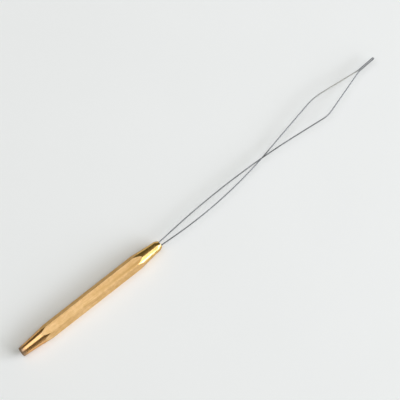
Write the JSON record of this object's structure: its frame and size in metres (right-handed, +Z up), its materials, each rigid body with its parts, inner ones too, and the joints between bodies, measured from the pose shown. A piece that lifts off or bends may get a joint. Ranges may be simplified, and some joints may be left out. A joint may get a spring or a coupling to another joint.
{
  "type": "threading needle",
  "caption": "Loop threader: a slim hexagonal brass handle with turned ends, holding a folded spring wire whose legs cross and open into a long eye for drawing yarn through.",
  "frame": {"origin": "in the middle of the handle's length, on the flat that it lies on", "axes": "+X along the handle towards the wire loop, +Z up from the flat that the handle lies on, +Y to the left"},
  "size_m": [0.1918, 0.0121, 0.006],
  "materials": {
    "brass": "satin flats with polished turned cones",
    "spring_steel": "drawn wire",
    "solder": "dull soft solder"
  },
  "bodies": {
    "root": {"handle": "brass", "loop_wire": "spring_steel", "solder_plug": "solder"}
  },
  "joints": []
}
